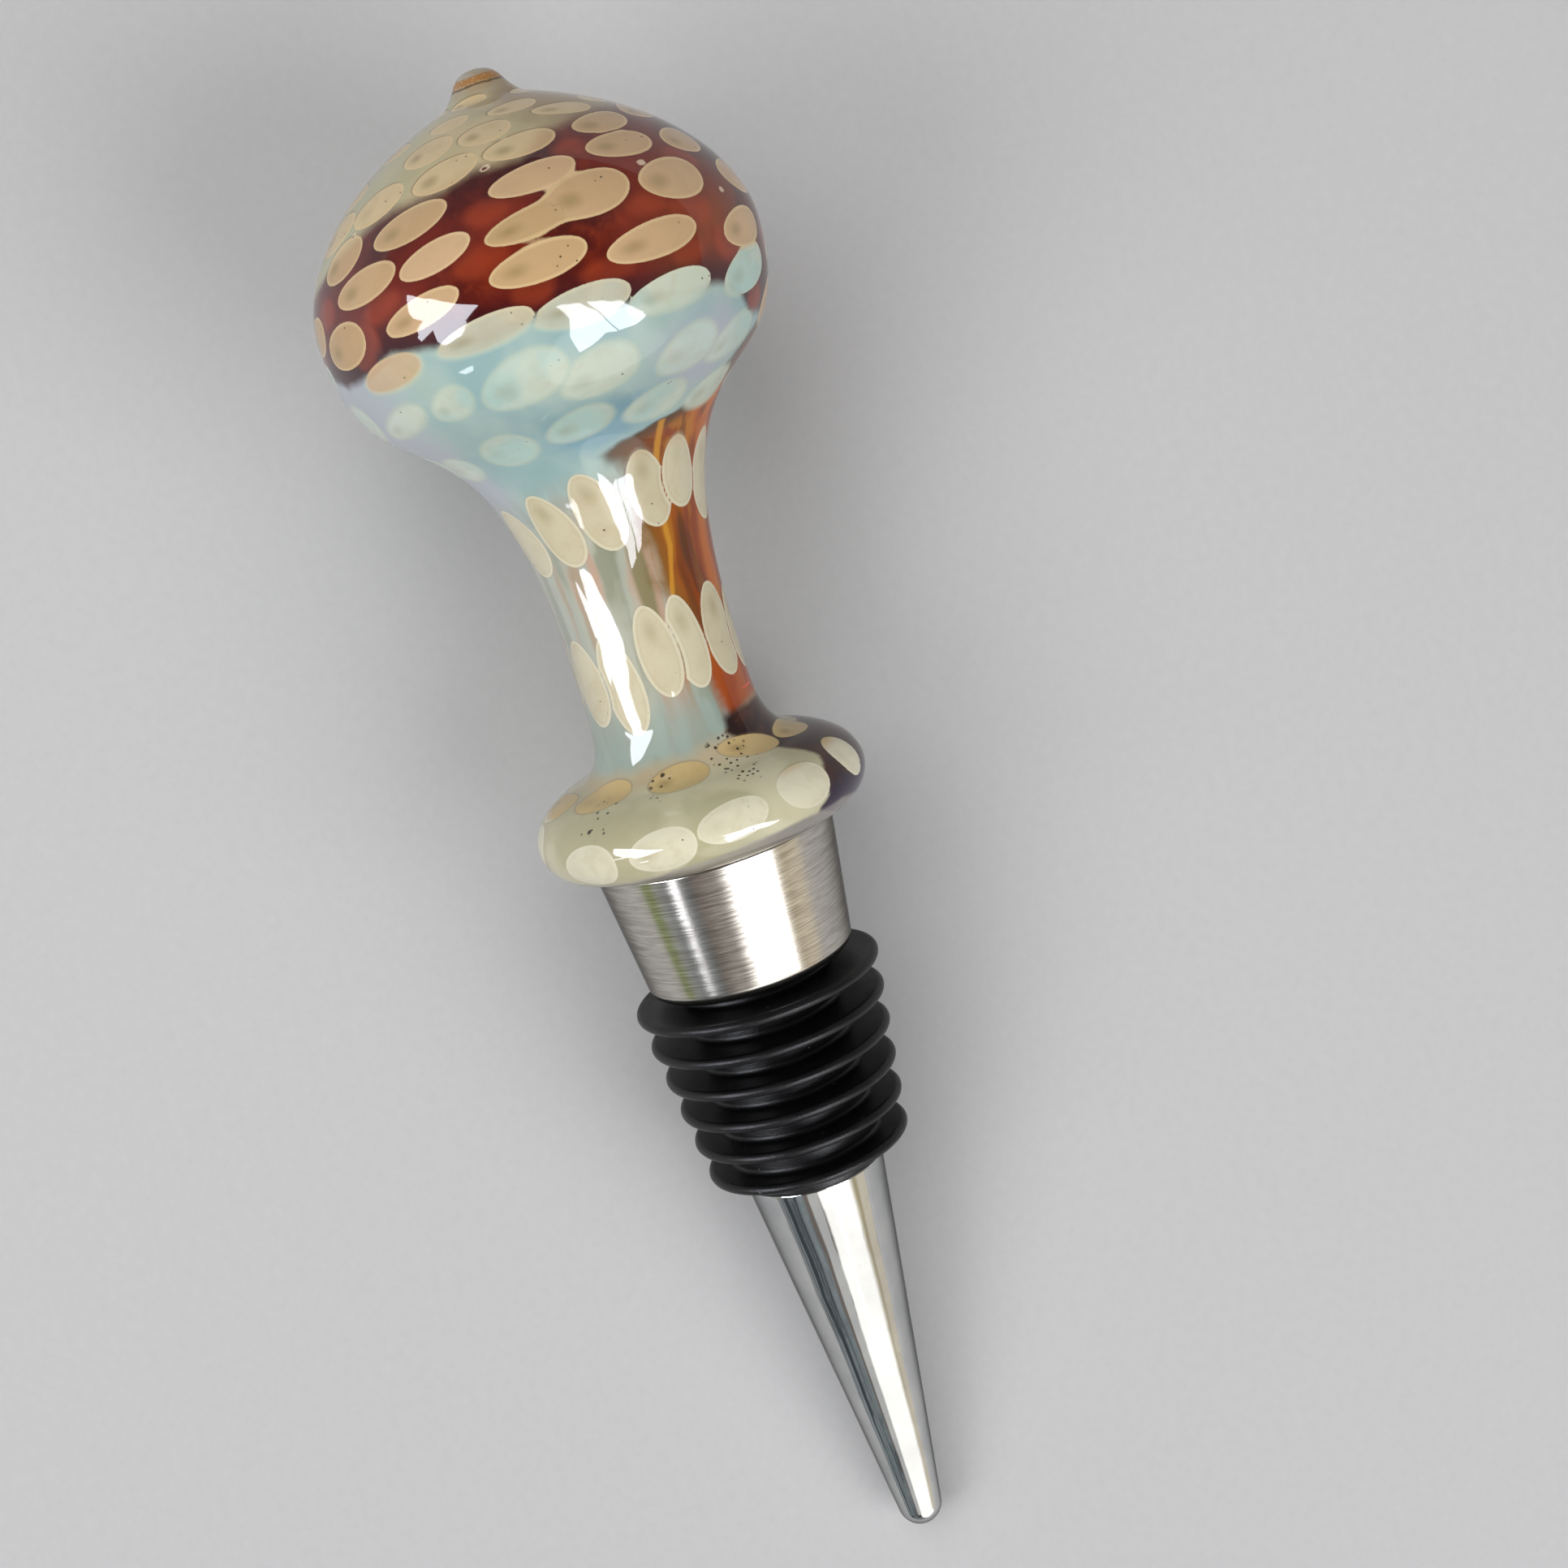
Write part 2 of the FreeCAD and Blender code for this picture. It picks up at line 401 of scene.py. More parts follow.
# Oval dots in the glass that the photograph shows: (height, angle, length, width, slant).
# A positive slant has the +angle end nearer the nub; a sixth number says how pale a dot
# is, 0 for cream and 1 for pale blue.
seenDots = [
    (73.4, -20, 3.8, 1.6, 8), (73.2, 62, 3.4, 1.6, 0), (73.1, -75, 3.6, 1.8, 5),
    (65.5, -69, 6.5, 4, 22), (57.2, -75.5, 6.5, 3.6, 10), (72, -27, 4, 2.6, 10),
    (71.9, 20, 5, 2.5, 5), (70.5, 41, 5.9, 2.7, -16), (70.3, -2, 5.1, 3.5, 9),
    (70.1, -31, 5.2, 4, 17), (68.4, 10, 7, 3.4, 6), (68.35, 45, 6.7, 3.4, 3),
    (67.8, -19, 6.6, 3.8, 18), (66.9, -47, 6.5, 4, 22), (66, 41, 7.3, 3.5, -4),
    (65.4, 9, 8.4, 3.3, 7), (64.9, 67, 6, 3.8, -2), (64.5, -30, 8.2, 3.6, 15),
    (63.2, -57, 6.5, 4, 22), (61.9, 47, 7.8, 4.6, -2), (61.3, -22, 7.5, 3, 14),
    (60.6, -45, 8.5, 3.3, 12), (60.5, 78, 7, 4, -8), (58.3, 3, 9.2, 3.3, 5),
    (57.3, 32, 10, 3.3, 3), (57.1, -28, 8.6, 2.7, 13), (55.9, -57, 7.8, 4, 12),
    (55.9, 65, 8, 3.7, 1), (53.9, -14, 9.7, 2.8, 7, 0.5), (53.8, 10, 9.3, 3.2, 3, 0.55),
    (52.6, 33, 9.4, 3.2, 3, 0.95), (52.6, -43, 8.4, 3, 9, 0), (52.2, 62, 8.9, 4, 11, 1),
    (48.9, -9, 8.6, 4.8, 16), (48.6, -30, 4.8, 3.1, 22), (47.9, -50, 8, 2.7, 18),
    (47.7, 10, 7.6, 4.7, 15), (47.1, 37, 7.1, 4.6, 15), (46.7, 56, 7.4, 4, 18),
    (43.6, 1, 6.6, 4, 16), (43.4, 29, 6.7, 4.2, 12), (43, -27.5, 5.7, 4.5, 13),
    (42.8, 58, 7, 4, 14), (42, -58, 5, 3.8, 12), (36.2, 46, 7.5, 4.2, -80),
    (35.7, 25, 8.3, 4.2, -79), (34.9, 72, 9.2, 4.6, -84), (35, -5, 8.7, 4.3, -78),
    (34.2, -32, 8.3, 4.3, -77), (33.4, -61, 7.7, 4.5, -76), (20.4, 4, 9.3, 3.9, -86),
    (20.35, 26, 9.5, 3.7, -86), (20.25, 56, 9.5, 4.5, -88), (18.65, -56, 8.9, 4.5, -85),
    (18.1, -27, 10.3, 4.2, -85), (8.9, 40, 6.7, 2.7, -17), (8.4, -6, 6.1, 3.5, 2),
    (8.3, 78, 6.6, 3.2, -6), (8.5, 106, 6, 3, 0), (8, -51, 6.8, 4, 20),
    (7.3, -84, 6.5, 4, 10), (5.3, 67, 4.6, 5.2, 0), (5, 39, 6.2, 4.8, 0),
    (4.5, 10, 7.3, 3.9, 6), (3.6, -15, 7, 4.2, 5), (3, -44, 7, 4.5, 5),
]
# a big dot run together with its neighbour
mergedDots = [(62.7, 21, 8.4, 4.6, 6), (61.8, 4, 8.6, 2.9, 9)]
# rows that go on round the side that the photograph hides:
# (height, first angle, last angle, count, length, width, slant)
hiddenRows = [
    (73.3, 105, 258, 4, 3.8, 1.7, 6), (71.6, 75, 290, 6, 5, 2.7, 5),
    (68.3, 80, 282, 7, 6.8, 3.5, 8), (65.3, 99, 270, 7, 7.6, 3.6, 6),
    (61.8, 108, 272, 7, 8.2, 3.7, 8), (58, 98, 259, 6, 8.6, 3.4, 7),
    (53.3, 91, 275, 7, 9, 3.2, 7), (48.6, 84, 284, 8, 7.4, 4.3, 16),
    (43.2, 88, 276, 7, 6.8, 4.1, 14), (35, 97, 272, 7, 8.1, 4.3, -79),
    (19.6, 84, 276, 8, 9.4, 4.2, -86), (8.2, 132, 234, 4, 6.4, 3.5, 5),
    (4.4, 98, 270, 6, 6.9, 4.3, 4),
]
# how far a hidden dot's height and angle stray, its length and width as shares, its slant
scatter = (0.45, 2.2, 0.09, 0.08, 3)

# Borders of the colours: (angle, height) round the knob for crown, teal,
# foot and lip, (height, angle) up its side for amber, gold and night
crownBorder = [
    (-150, 62.5), (-120, 60), (-90, 60), (-70, 61.9), (-61, 63.5), (-51, 65), (-38, 66.1),
    (-18, 66.5), (-9, 67.2), (8, 67.2), (21, 69.1), (37, 69.6), (68, 69.9), (87, 69.2), (120, 67.5),
    (150, 66), (180, 64),
]
tealBorder = [
    (-140, 51), (-110, 53), (-83, 54.3), (-64, 52.3), (-51, 53), (-40, 54.2), (-31, 54),
    (-15, 53.5), (-1, 54.1), (6, 53.7), (27, 52.4), (42, 52.1), (49, 51.8), (56, 50.9), (63, 48.6),
    (76, 47.9), (100, 47), (120, 49), (150, 51.5), (180, 52),
]
amberLeft = [
    (4, 50), (8, 46), (11.4, 37), (12.8, 38), (14.8, 36), (18, 31), (21, 25), (24.6, 19),
    (26.7, 16), (28.6, 16), (31, 14), (32.8, 12.5), (34.6, 13), (37, 14), (39, 12), (40, 10),
    (40.4, 14), (40.9, 21), (41.4, 32), (41.7, 44), (42.6, 57), (43.5, 65), (45.8, 70), (48, 78),
    (60, 90),
]
goldPath = [
    (18, 16), (24, 23), (26.6, 27), (28, 29.4), (29.6, 31.7), (31.5, 31.2), (36, 30), (42, 34),
]
amberRight = [(4, 150), (12, 138), (20, 120), (30, 112), (40, 128), (48, 142), (60, 150)]
footBorder = [
    (-150, 10), (-110, 9.2), (-72, 9.3), (-45, 9.7), (-21, 10), (5, 10.1), (29, 10.8), (60, 12.5),
    (120, 12.5), (160, 10.5),
]
nightLeft = [
    (0, 60), (2, 40), (2.9, 46), (4.6, 47), (6.4, 55), (7.5, 52), (8.3, 47), (10.8, 30), (13, 36),
    (16, 50),
]
nightRight = [(0, 140), (8, 148), (12, 130), (16, 110)]
lipBorder = [
    (-150, 1.4), (-90, 1), (-45, 0.8), (-27, 1.1), (-10, 1.5), (10, 1.9), (35, 2.1), (55, 1.9),
    (75, 1), (110, 1), (150, 1.4),
]
# far dots that show through the dark glass as soft red patches
ghostDots = [
    (58.4, -39, 5, 2.8, 12), (56.4, 0, 4.2, 3.4, 20), (55.1, 56, 4.6, 4, 0),
    (58.9, 46, 5.4, 3.4, -5), (56, 18, 5.4, 2.2, 0), (56, -47, 3.8, 3.4, 10),
    (49.4, 66, 3.6, 3.4, 0), (60.4, 34, 4.6, 2.6, 0), (59.8, -10, 5.5, 3.2, 5),
    (63.6, -6, 4.5, 3, 5), (66.8, 24, 3.6, 2.6, 5), (59, -64, 4.2, 3, 10),
    (63.2, 56, 4.5, 3.2, -8), (55.4, 40, 4, 2.4, 0), (54.6, -50, 3.6, 2.6, 8),
]
bubbles = [
    (67.3, -4, 0.95, 0.6, 25), (63.9, 41, 0.85, 0.5, 0), (65, -54, 0.7, 0.55, 40),
    (59.6, 62, 0.6, 0.45, 0),
]

# soft patches of colour, among them painted light on the left side, painted shade on the right
# and the place of a painted highlight, and the swell of the neck's skin: sums of (share, angle,
# height, wide, tall)
patches = {
    "sunny": [(1, 56, 57, 22, 5)],
    "milk": [(1, -68, 46, 26, 40), (1.1, 44, 47, 18, 3.8)],
    "deepBlue": [(1, 8, 43, 26, 2.6), (0.6, 150, 46, 40, 4)],
    "smoky": [(1, 42, 29.5, 4, 3.4)],
    "toffee": [(1, 48, 72.3, 38, 3)],
    "mossy": [(1, 8, 28, 5, 6), (0.6, 27, 33, 4, 3)],
    "rosy": [(1, -20, 29.5, 3.5, 4), (0.7, -38, 28, 3.5, 4)],
    # where the amber's painted red highlight shows
    "footSide": [(1, 68, 14, 16, 6)],
    # paler on the left side: painted light where more light falls
    "leftSide": [(1, -70, 60, 34, 60)],
    # darker on the right side: painted shade
    "rightSide": [(1, 92, 60, 34, 30)],
    "dusty": [(1, 26, 9, 15, 2.2), (1, -42, 7, 9, 1.6), (0.8, -16, 8.4, 9, 1.4)],
    "swell": [(0.4, -4, 39, 15, 6), (-0.3, 32, 38, 14, 6), (0.35, -48, 21, 20, 11)],
}


def hiddenDots():
    # dots of the hidden rows at even angles, each nudged by normal draws of its own
    shift = np.random.default_rng(7)
    dots = []
    for height, first, last, count, length, width, slant in hiddenRows:
        for angle in np.linspace(first, last, count):
            nudge = shift.normal(0, 1, 5) * scatter
            dots.append((height + nudge[0], angle + nudge[1], length * (1 + nudge[2]),
                         width * (1 + nudge[3]), slant + nudge[4]))
    return dots


def farGhosts():
    # ghosts of the hidden side: every 15 degrees round it, moved by even draws
    shift = np.random.default_rng(11)
    return [(58 + 4.5 * shift.uniform(-1, 1), angle + 6 * shift.uniform(-1, 1), 4.8, 3.0, 8)
            for angle in range(84, 286, 15)]


def ovalField(grid, dot, wayOf):
    # lengthwise and crosswise place in an oval as shares of its half axes, and the
    # distance to its edge in mm, to first order (share - 1) * share / slope
    height, angle, length, width, slant = dot[:5]
    away = (grid.turn - angle + 180) % 360 - 180
    x = np.radians(away) * grid.radius
    y = grid.way - wayOf(height)
    lean = radians(slant)
    lengthwise = (x * cos(lean) + y * sin(lean)) / (length / 2)
    crosswise = (y * cos(lean) - x * sin(lean)) / (width / 2)
    crosswise = crosswise * (1 - 0.1 * np.clip(lengthwise, -1, 1))     # blunter at one end
    share = np.hypot(lengthwise, crosswise)
    slope = np.hypot(lengthwise / (length / 2), crosswise / (width / 2)) + 1e-6
    return lengthwise, crosswise, (share - 1) * share / slope


def nearestOval(grid, dots, wayOf):
    # distance to the edge of the nearest oval, below 0 inside it
    return np.min([ovalField(grid, dot, wayOf)[2] for dot in dots], axis=0)


def border(table, turn):
    # height of a border between two colours at each angle, straight between its places
    places = sorted(table)
    return np.interp(turn, [p[0] for p in places], [p[1] for p in places], period=360)


def paleness(dot):
    # 1 for a dot in the blue glass and 0 for any other, unless the dot has a number for it
    height, angle = dot[:2]
    inTeal = 39 < height < float(border(tealBorder, angle))
    return dot[5] if len(dot) > 5 else float(inTeal)


def patch(grid, angle, height, wide, tall):
    # soft patch: exp(-((turn - angle) / wide) ** 2 - ((high - height) / tall) ** 2)
    away = (grid.turn - angle + 180) % 360 - 180
    return np.exp(-(away / wide) ** 2 - ((grid.high - height) / tall) ** 2)


def dotFields(grid, wayOf):
    # at each point the nearest dot: distance to its edge, place in it, tint and paleness.
    # A merged dot joins the others by the smooth minimum -k log(exp(-a / k) + exp(-b / k)).
    edge = np.full(grid.turn.shape, 9.0)
    inDot = {name: np.zeros(edge.shape) for name in ("dotLong", "dotCross", "dotTint", "dotPale")}
    tint = np.random.default_rng(3)
    soft = knob["dotMerge"]
    for dot in hiddenDots() + seenDots + mergedDots:
        lengthwise, crosswise, distance = ovalField(grid, dot, wayOf)
        if dot not in mergedDots:
            distance = np.maximum(distance, knob["dotGap"] - edge)
        nearer = distance < edge
        values = lengthwise, crosswise, tint.uniform(0, 1), paleness(dot)
        for kept, value in zip(inDot.values(), values):
            kept[nearer] = value if np.isscalar(value) else value[nearer]
        if dot in mergedDots:
            distance = -soft * np.log(np.exp(-edge / soft) + np.exp(-distance / soft) + 1e-12)
        edge = np.minimum(edge, distance)
    for name in ("dotLong", "dotCross"):
        inDot[name] = np.clip(inDot[name], -2, 2)
    return {"dotEdge": edge, **inDot}


def knobFields(grid):
    # numbers on the points: mm above or inside each border, the dots, and the soft patches
    outside = grid.way[:, 0] > knob["rimCenter"][0]
    heights, ways = grid.high[outside, 0], grid.way[outside, 0]
    wayOf = lambda height: float(np.interp(height, heights, ways))
    sideOf = lambda table: np.interp(grid.high, [p[0] for p in table], [p[1] for p in table])
    between = lambda left, right: np.minimum(grid.turn - sideOf(left), sideOf(right) - grid.turn)
    perDegree = np.radians(grid.radius)
    inGold = (grid.high > 16) & (grid.high < 44)
    return {
        **dotFields(grid, wayOf),
        "ghost": np.clip(nearestOval(grid, ghostDots + farGhosts(), wayOf), -3, 5),
        "bubble": np.clip(nearestOval(grid, bubbles, wayOf), -1, 2),
        "crown": grid.high - border(crownBorder, grid.turn),
        "teal": border(tealBorder, grid.turn) - grid.high,
        "amber": between(amberLeft, amberRight) * perDegree,
        "foot": border(footBorder, grid.turn) - grid.high,
        "night": np.minimum(between(nightLeft, nightRight) * perDegree, 12.4 - grid.high),
        "goldLine": np.exp(-((grid.turn - sideOf(goldPath)) / 2.4) ** 2) * inGold,
        "lip": border(lipBorder, grid.turn) - grid.high,
        **{name: sum(share * patch(grid, *place) for share, *place in parts)
           for name, parts in patches.items()},
    }


# Colours of the knob's glass; the first of two is where its haze is low
glass = {
    "red": ("#45110c", "#782310"), "redStreak": "#8c3417", "redSunny": "#8c4412",
    # redLitLeft is a painted purple sheen on the left side, redShadedRight painted shade on the
    # right
    "redLitLeft": "#4a1a26", "redShadedRight": "#260b06", "redLow": "#33131b", "redHigh": "#3c161d",
    "ghost": "#9c3d20",
    # crownLitLeft: paler and greener on the left side, painted light
    "crown": ("#c6b38a", "#b2a57e"), "crownLitLeft": "#b4b598", "toffee": "#8f7049",
    "crownTop": "#969184",
    "blue": ("#90acac", "#a4b8b1"), "deepBlue": "#7c9fad", "milk": "#adb1bb",
    "neck": ("#979c8e", "#b0b0a1"), "neckPink": "#b78d74", "neckOlive": "#7c7f66",
    # neckLitLeft: paler on the left side, painted light
    "neckRust": "#a4713f", "neckLitLeft": "#b4bcb4", "moss": "#797450", "rose": "#bd9680",
    "neckLow": "#8c9f98",
    "amber": ("#84390a", "#b05c12"), "honey": "#b0721f", "amberDark": "#4f2610",
    "olive": "#675423", "amberTip": "#573823", "goldLine": "#c3872a", "smoke": "#4f3126",
    # amberGlint is a painted highlight: a thin bright red line low on the amber
    "orange": "#9c3f0e", "amberLow": "#3a1a10", "amberGlint": "#d8532c", "brink": "#463022",
    "foot": ("#c6c0a2", "#b0aa8a"), "footTan": "#b09c7e",
    "night": ("#220e09", "#43200f"), "nightLow": "#1f1532",
}
dotGlass = {
    "bulb": ("#c8a782", "#b8986d"), "crown": "#d3bd92", "blue": ("#a9c5be", "#c3ccbb"),
    "milk": "#ced7cd", "neck": ("#cec6ac", "#c0b596"), "footTop": "#c3aa76",
    "footRim": "#d6d1b8", "cloud": "#a58f68", "smudge": "#7d6c3c",
    "rim": ("#e2c898", "#d3d2b2"), "rimLow": "#dcd7c0", "inset": "#a08a6a", "specks": "#2c1d14",
    # shadeHalo is painted shade round the dots in the red; line is a painted shadow line along a
    # dot's upper side
    "shadeHalo": "#2a0c0b", "line": "#6b5434", "glow": "#c3cbb2",
}
marks = {
    "dust": "#1d1712", "lip": ("#7a7476", "#a09a8e"), "lipLine": "#4c4644",
    # bubbleHighlight: a painted highlight round a bubble's rim
    "bubbleHighlight": "#d8c0a4", "bubble": "#5b2a20", "nub": ("#a38f70", "#a6a293"),
    "seal": ("#a26a26", "#ecd4a4"), "sealLine": "#523417", "sealHeight": 75.35,
    "sealLineHeight": 74.85,
}
# numbers that knobFields stores besides the patches
stored = ("crown", "teal", "amber", "foot", "night", "lip", "ghost", "bubble", "goldLine",
          "dotEdge", "dotLong", "dotCross", "dotTint", "dotPale")


def known(paint):
    # what is known at a point of the knob: its place, the stored numbers and cloudy values.
    # A slow drift moves the place where these are read, own + (drift - 0.5) * reach, so
    # that no band or cloud lies straight.
    own = paint.field("own", "Vector")
    drift = own.noise(0.14, 3, 0.55, 1).moved((-0.5, -0.5, -0.5))
    swirl = own.moved(drift.scaled((5, 5, 5)))
    bands = own.moved(drift.scaled((1.6, 1.6, 8)))
    at = SimpleNamespace(own=own, high=own.height())
    for name in (*stored, *patches):
        setattr(at, name, paint.field(name))
    at.cloud = swirl.noise(0.11, 3, 0.5)
    at.fine = swirl.noise(0.42, 3, 0.6)
    at.grain = own.noise(2.2, 2, 0.6)
    at.streak = bands.scaled((0.3, 0.3, 0.022)).noise(1.0, 1, 0.4)
    at.second = bands.scaled((0.42, 0.42, 0.04)).noise(1.0, 1.5, 0.5)
    at.third = bands.scaled((0.55, 0.55, 0.06)).noise(1.0, 1, 0.4)
    at.waver = (at.cloud - 0.5) * 3.0 + (at.fine - 0.5) * 1.6
    at.milky = at.milk.torn(at.cloud, 0.9, 0.2, 0.9)
    return at


def redGlass(at):
    # red and maroon band of the bulb, with far dots glowing through it, painted light on its left
    # side and painted shade on its right
    streaky = at.fine.rise(0.48, 0.75)
    sunny = at.sunny * (at.cloud + at.fine).rise(0.75, 1.15)
    low = (at.teal + at.waver * 0.6).rise(-4.2, -0.4)
    underCrown = (at.crown + at.waver).rise(-3.5, -0.5)
    return at.cloud.rise(0.36, 0.64).blend(*glass["red"]).coats([
        (streaky * 0.5, glass["redStreak"]),
        (sunny * 0.7, glass["redSunny"]),
        # painted light on the left side, painted shade on the right
        (at.leftSide * 0.45, glass["redLitLeft"]),
        (at.rightSide * 0.7, glass["redShadedRight"]),
        (low * 0.9, glass["redLow"]),
        (underCrown * 0.25, glass["redHigh"]),
        (at.ghost.torn(at.fine, 0.8, 0.5, -0.7) * 0.5, glass["ghost"]),
    ])


def crownGlass(at):
    # crown, where the cream has run together, paler on the left side as painted light
    return at.cloud.rise(0.35, 0.65).blend(*glass["crown"]).coats([
        # painted light: paler on the left side
        (at.leftSide * 0.8, glass["crownLitLeft"]),
        (at.toffee.torn(at.fine, 0.5, 0.2, 0.8) * 0.75, glass["toffee"]),
        ((at.high + at.waver).rise(71.5, 75) * 0.5, glass["crownTop"]),
    ])


def blueGlass(at):
    # light blue below the red: a deeper patch low in front, milky towards the sides
    return at.cloud.rise(0.38, 0.62).blend(*glass["blue"]).coats([
        (at.deepBlue.torn(at.fine, 0.5, 0.2, 0.8) * 0.85, glass["deepBlue"]),
        (at.milky * 0.9, glass["milk"]),
    ])


def neckGlass(at):
    # pale side of the neck: soft lengthwise streaks, paler on the left side as painted light
    return at.streak.rise(0.36, 0.64).blend(*glass["neck"]).coats([
        (at.second.rise(0.52, 0.68) * 0.7, glass["neckPink"]),
        (at.second.rise(0.47, 0.34) * 0.7, glass["neckOlive"]),
        (at.third.rise(0.42, 0.32) * 0.5, glass["neckRust"]),
        # painted light: paler on the left side
        (at.leftSide * 0.6, glass["neckLitLeft"]),
        (at.mossy.torn(at.second, 0.6, 0.15, 0.7) * 0.85, glass["moss"]),
        (at.rosy.torn(at.third, 0.6, 0.2, 0.9) * 0.7, glass["rose"]),
        ((at.high + at.waver).rise(18, 12) * 0.75, glass["neckLow"]),
    ])


def amberGlass(at):
    # amber side of the neck: olive where it starts, a gold line, smoke, then orange, and a thin red
    # painted highlight low down
    high, amber = at.high, at.amber
    olive = amber.rise(3.4, 0.4) * high.rise(19, 25)
    tip = high.rise(36, 41) * amber.rise(6.5, 2)
    # thin bright line at 13.8 mm: painted highlight
    amberGlint = (high + (at.fine - 0.5) * 0.5 - 13.8).near(0.16, 0.04)
    return at.streak.rise(0.38, 0.62).blend(*glass["amber"]).coats([
        (at.second.rise(0.53, 0.66) * 0.7, glass["honey"]),
        (at.third.rise(0.55, 0.66) * 0.6, glass["amberDark"]),
        (olive * 0.8, glass["olive"]),
        (tip * 0.9, glass["amberTip"]),
        (at.goldLine.torn(at.fine, 0.5, 0.3, 0.9) * 0.9, glass["goldLine"]),
        (at.smoky * 0.8, glass["smoke"]),
        (high.rise(22, 15) * 0.75, glass["orange"]),
        ((high + at.waver * 0.5).rise(13.2, 10.8), glass["amberLow"]),
        (amberGlint * at.footSide.rise(0.7, 0.95), glass["amberGlint"]),
    ])


def zones(at):
    # share of each band of the knob, of the dots and of the sealed ring
    high = at.high
    at.tealed = (at.teal + at.waver * 0.35).rise(-0.5, 0.7)
    at.crowned = (at.crown + at.waver * 0.45).rise(-0.9, 0.9)
    at.onBulb = high.rise(38, 41)
    at.onNeck = high.rise(41, 38) * high.rise(11, 13)
    at.onTop = high.rise(12, 11) * high.rise(6, 7)
    at.onRim = high.rise(7, 6)
    at.band = at.tealed * at.onBulb
    at.edge = at.dotEdge + (at.grain - 0.5) * 0.07
    at.inside = at.edge.rise(0.05, -0.05)
    softly = at.edge.rise(0.22, -0.42) * 0.8
    at.covered = at.inside * (1 - at.band) + softly * at.band
    at.seal = (high + (at.fine - 0.5) * 0.7 - marks["sealHeight"]).near(0.5, 0.2)


def groundColour(at):
    # the bands from the bulb's blue down to the foot, then the red and the crown over them
    ragged = at.amber + (at.fine - 0.5) * 1.2 + (at.third - 0.5) * 2.4
    brink = ragged.rise(-2.0, 0.2) * at.high.rise(38, 40)
    footed = (at.foot + at.waver * 0.5).rise(-1.0, 1.0)
    tanned = (at.high + at.waver * 0.5).rise(7.4, 9.6) * 0.7      # towards the neck
    cream = at.cloud.rise(0.4, 0.62).blend(*glass["foot"])
    night = at.fine.rise(0.4, 0.65).blend(*glass["night"])
    nightLow = at.high.rise(5, 2.5) * 0.8      # violet near the foot's rim
    low = blueGlass(at).coats([
        ((at.high + at.waver).rise(40, 33), neckGlass(at)),
        (brink * 0.95, glass["brink"]),
        (ragged.rise(-0.6, 0.9), amberGlass(at)),
        (footed, tanned.blend(cream, glass["footTan"])),
        (at.night.torn(at.fine, 1.2, -0.4, 0.5), nightLow.blend(night, glass["nightLow"])),
    ])
    bulb = at.tealed.blend(redGlass(at), low)
    return at.crowned.blend(bulb, crownGlass(at))


def dotColour(paint, at):
    # inside of a dot: its own tint, a smudge sqrt(3.4 x x + 1.8 y y) off its middle,
    # a pale rim and dark specks at one end
    tint = at.dotTint
    own, fine, paled = at.own, at.fine, at.dotPale
    offX = at.dotLong + 0.45
    smudge = paint.math("SQRT", offX * offX * 3.4 + at.dotCross * at.dotCross * 1.8)
    smudged = smudge.torn(fine, 0.5, 0.8, 0.0) * tint.rise(0.1, 0.4)
    smudgeShare = 0.5 - 0.25 * at.onRim - 0.2 * at.onNeck - 0.25 * paled
    rim = at.edge.rise(-0.38, -0.1)
    inset = (at.edge + 0.42).near(0.14, 0.02)
    specks = own.cells(1.1).rise(0.15, 0.08)
    specks = specks * own.noise(0.5, 1).rise(0.5, 0.56)
    return tint.blend(*dotGlass["bulb"]).coats([
        (at.crowned * 0.85, dotGlass["crown"]),
        (paled, at.cloud.rise(0.4, 0.6).blend(*dotGlass["blue"])),
        (paled * at.milky * 0.6, dotGlass["milk"]),
        (at.onNeck, tint.blend(*dotGlass["neck"])),
        (at.onTop, dotGlass["footTop"]),
        (at.onRim, dotGlass["footRim"]),
        (fine.rise(0.42, 0.7) * 0.2, dotGlass["cloud"]),
        (smudged * smudgeShare, dotGlass["smudge"]),
        (rim * (0.42 - 0.2 * paled) * at.onBulb, paled.blend(*dotGlass["rim"])),
        (rim * (at.onNeck + at.onRim) * 0.45, dotGlass["rimLow"]),
        (inset * at.onNeck * 0.12, dotGlass["inset"]),
        (specks * at.dotLong.rise(0.0, 0.4) * 0.85, dotGlass["specks"]),
    ])


def roundDots(at, ground):
    # what lies round a dot: painted shade as a dark halo in the red, and a brown painted shadow
    # line above it, strongest in the crown
    dark = (1 - at.tealed) * (1 - at.crowned)
    above = (at.dotCross - at.dotLong * 0.5).rise(-0.1, 0.9)
    # where the painted shadow line lies: along the dot's upper side, mostly in the crown
    shadowShare = above * at.crowned * 0.65 + at.onTop * 0.35 + at.onNeck * 0.05
    return ground.coats([
        # painted shade: a dark halo round the dot in the red
        (at.edge.rise(1.2, 0.0) * 0.25 * dark, dotGlass["shadeHalo"]),
        (at.edge.rise(0.3, 0.03) * shadowShare, dotGlass["line"]),
        (at.edge.rise(0.5, 0.0) * at.band * 0.4, dotGlass["glow"]),
    ])


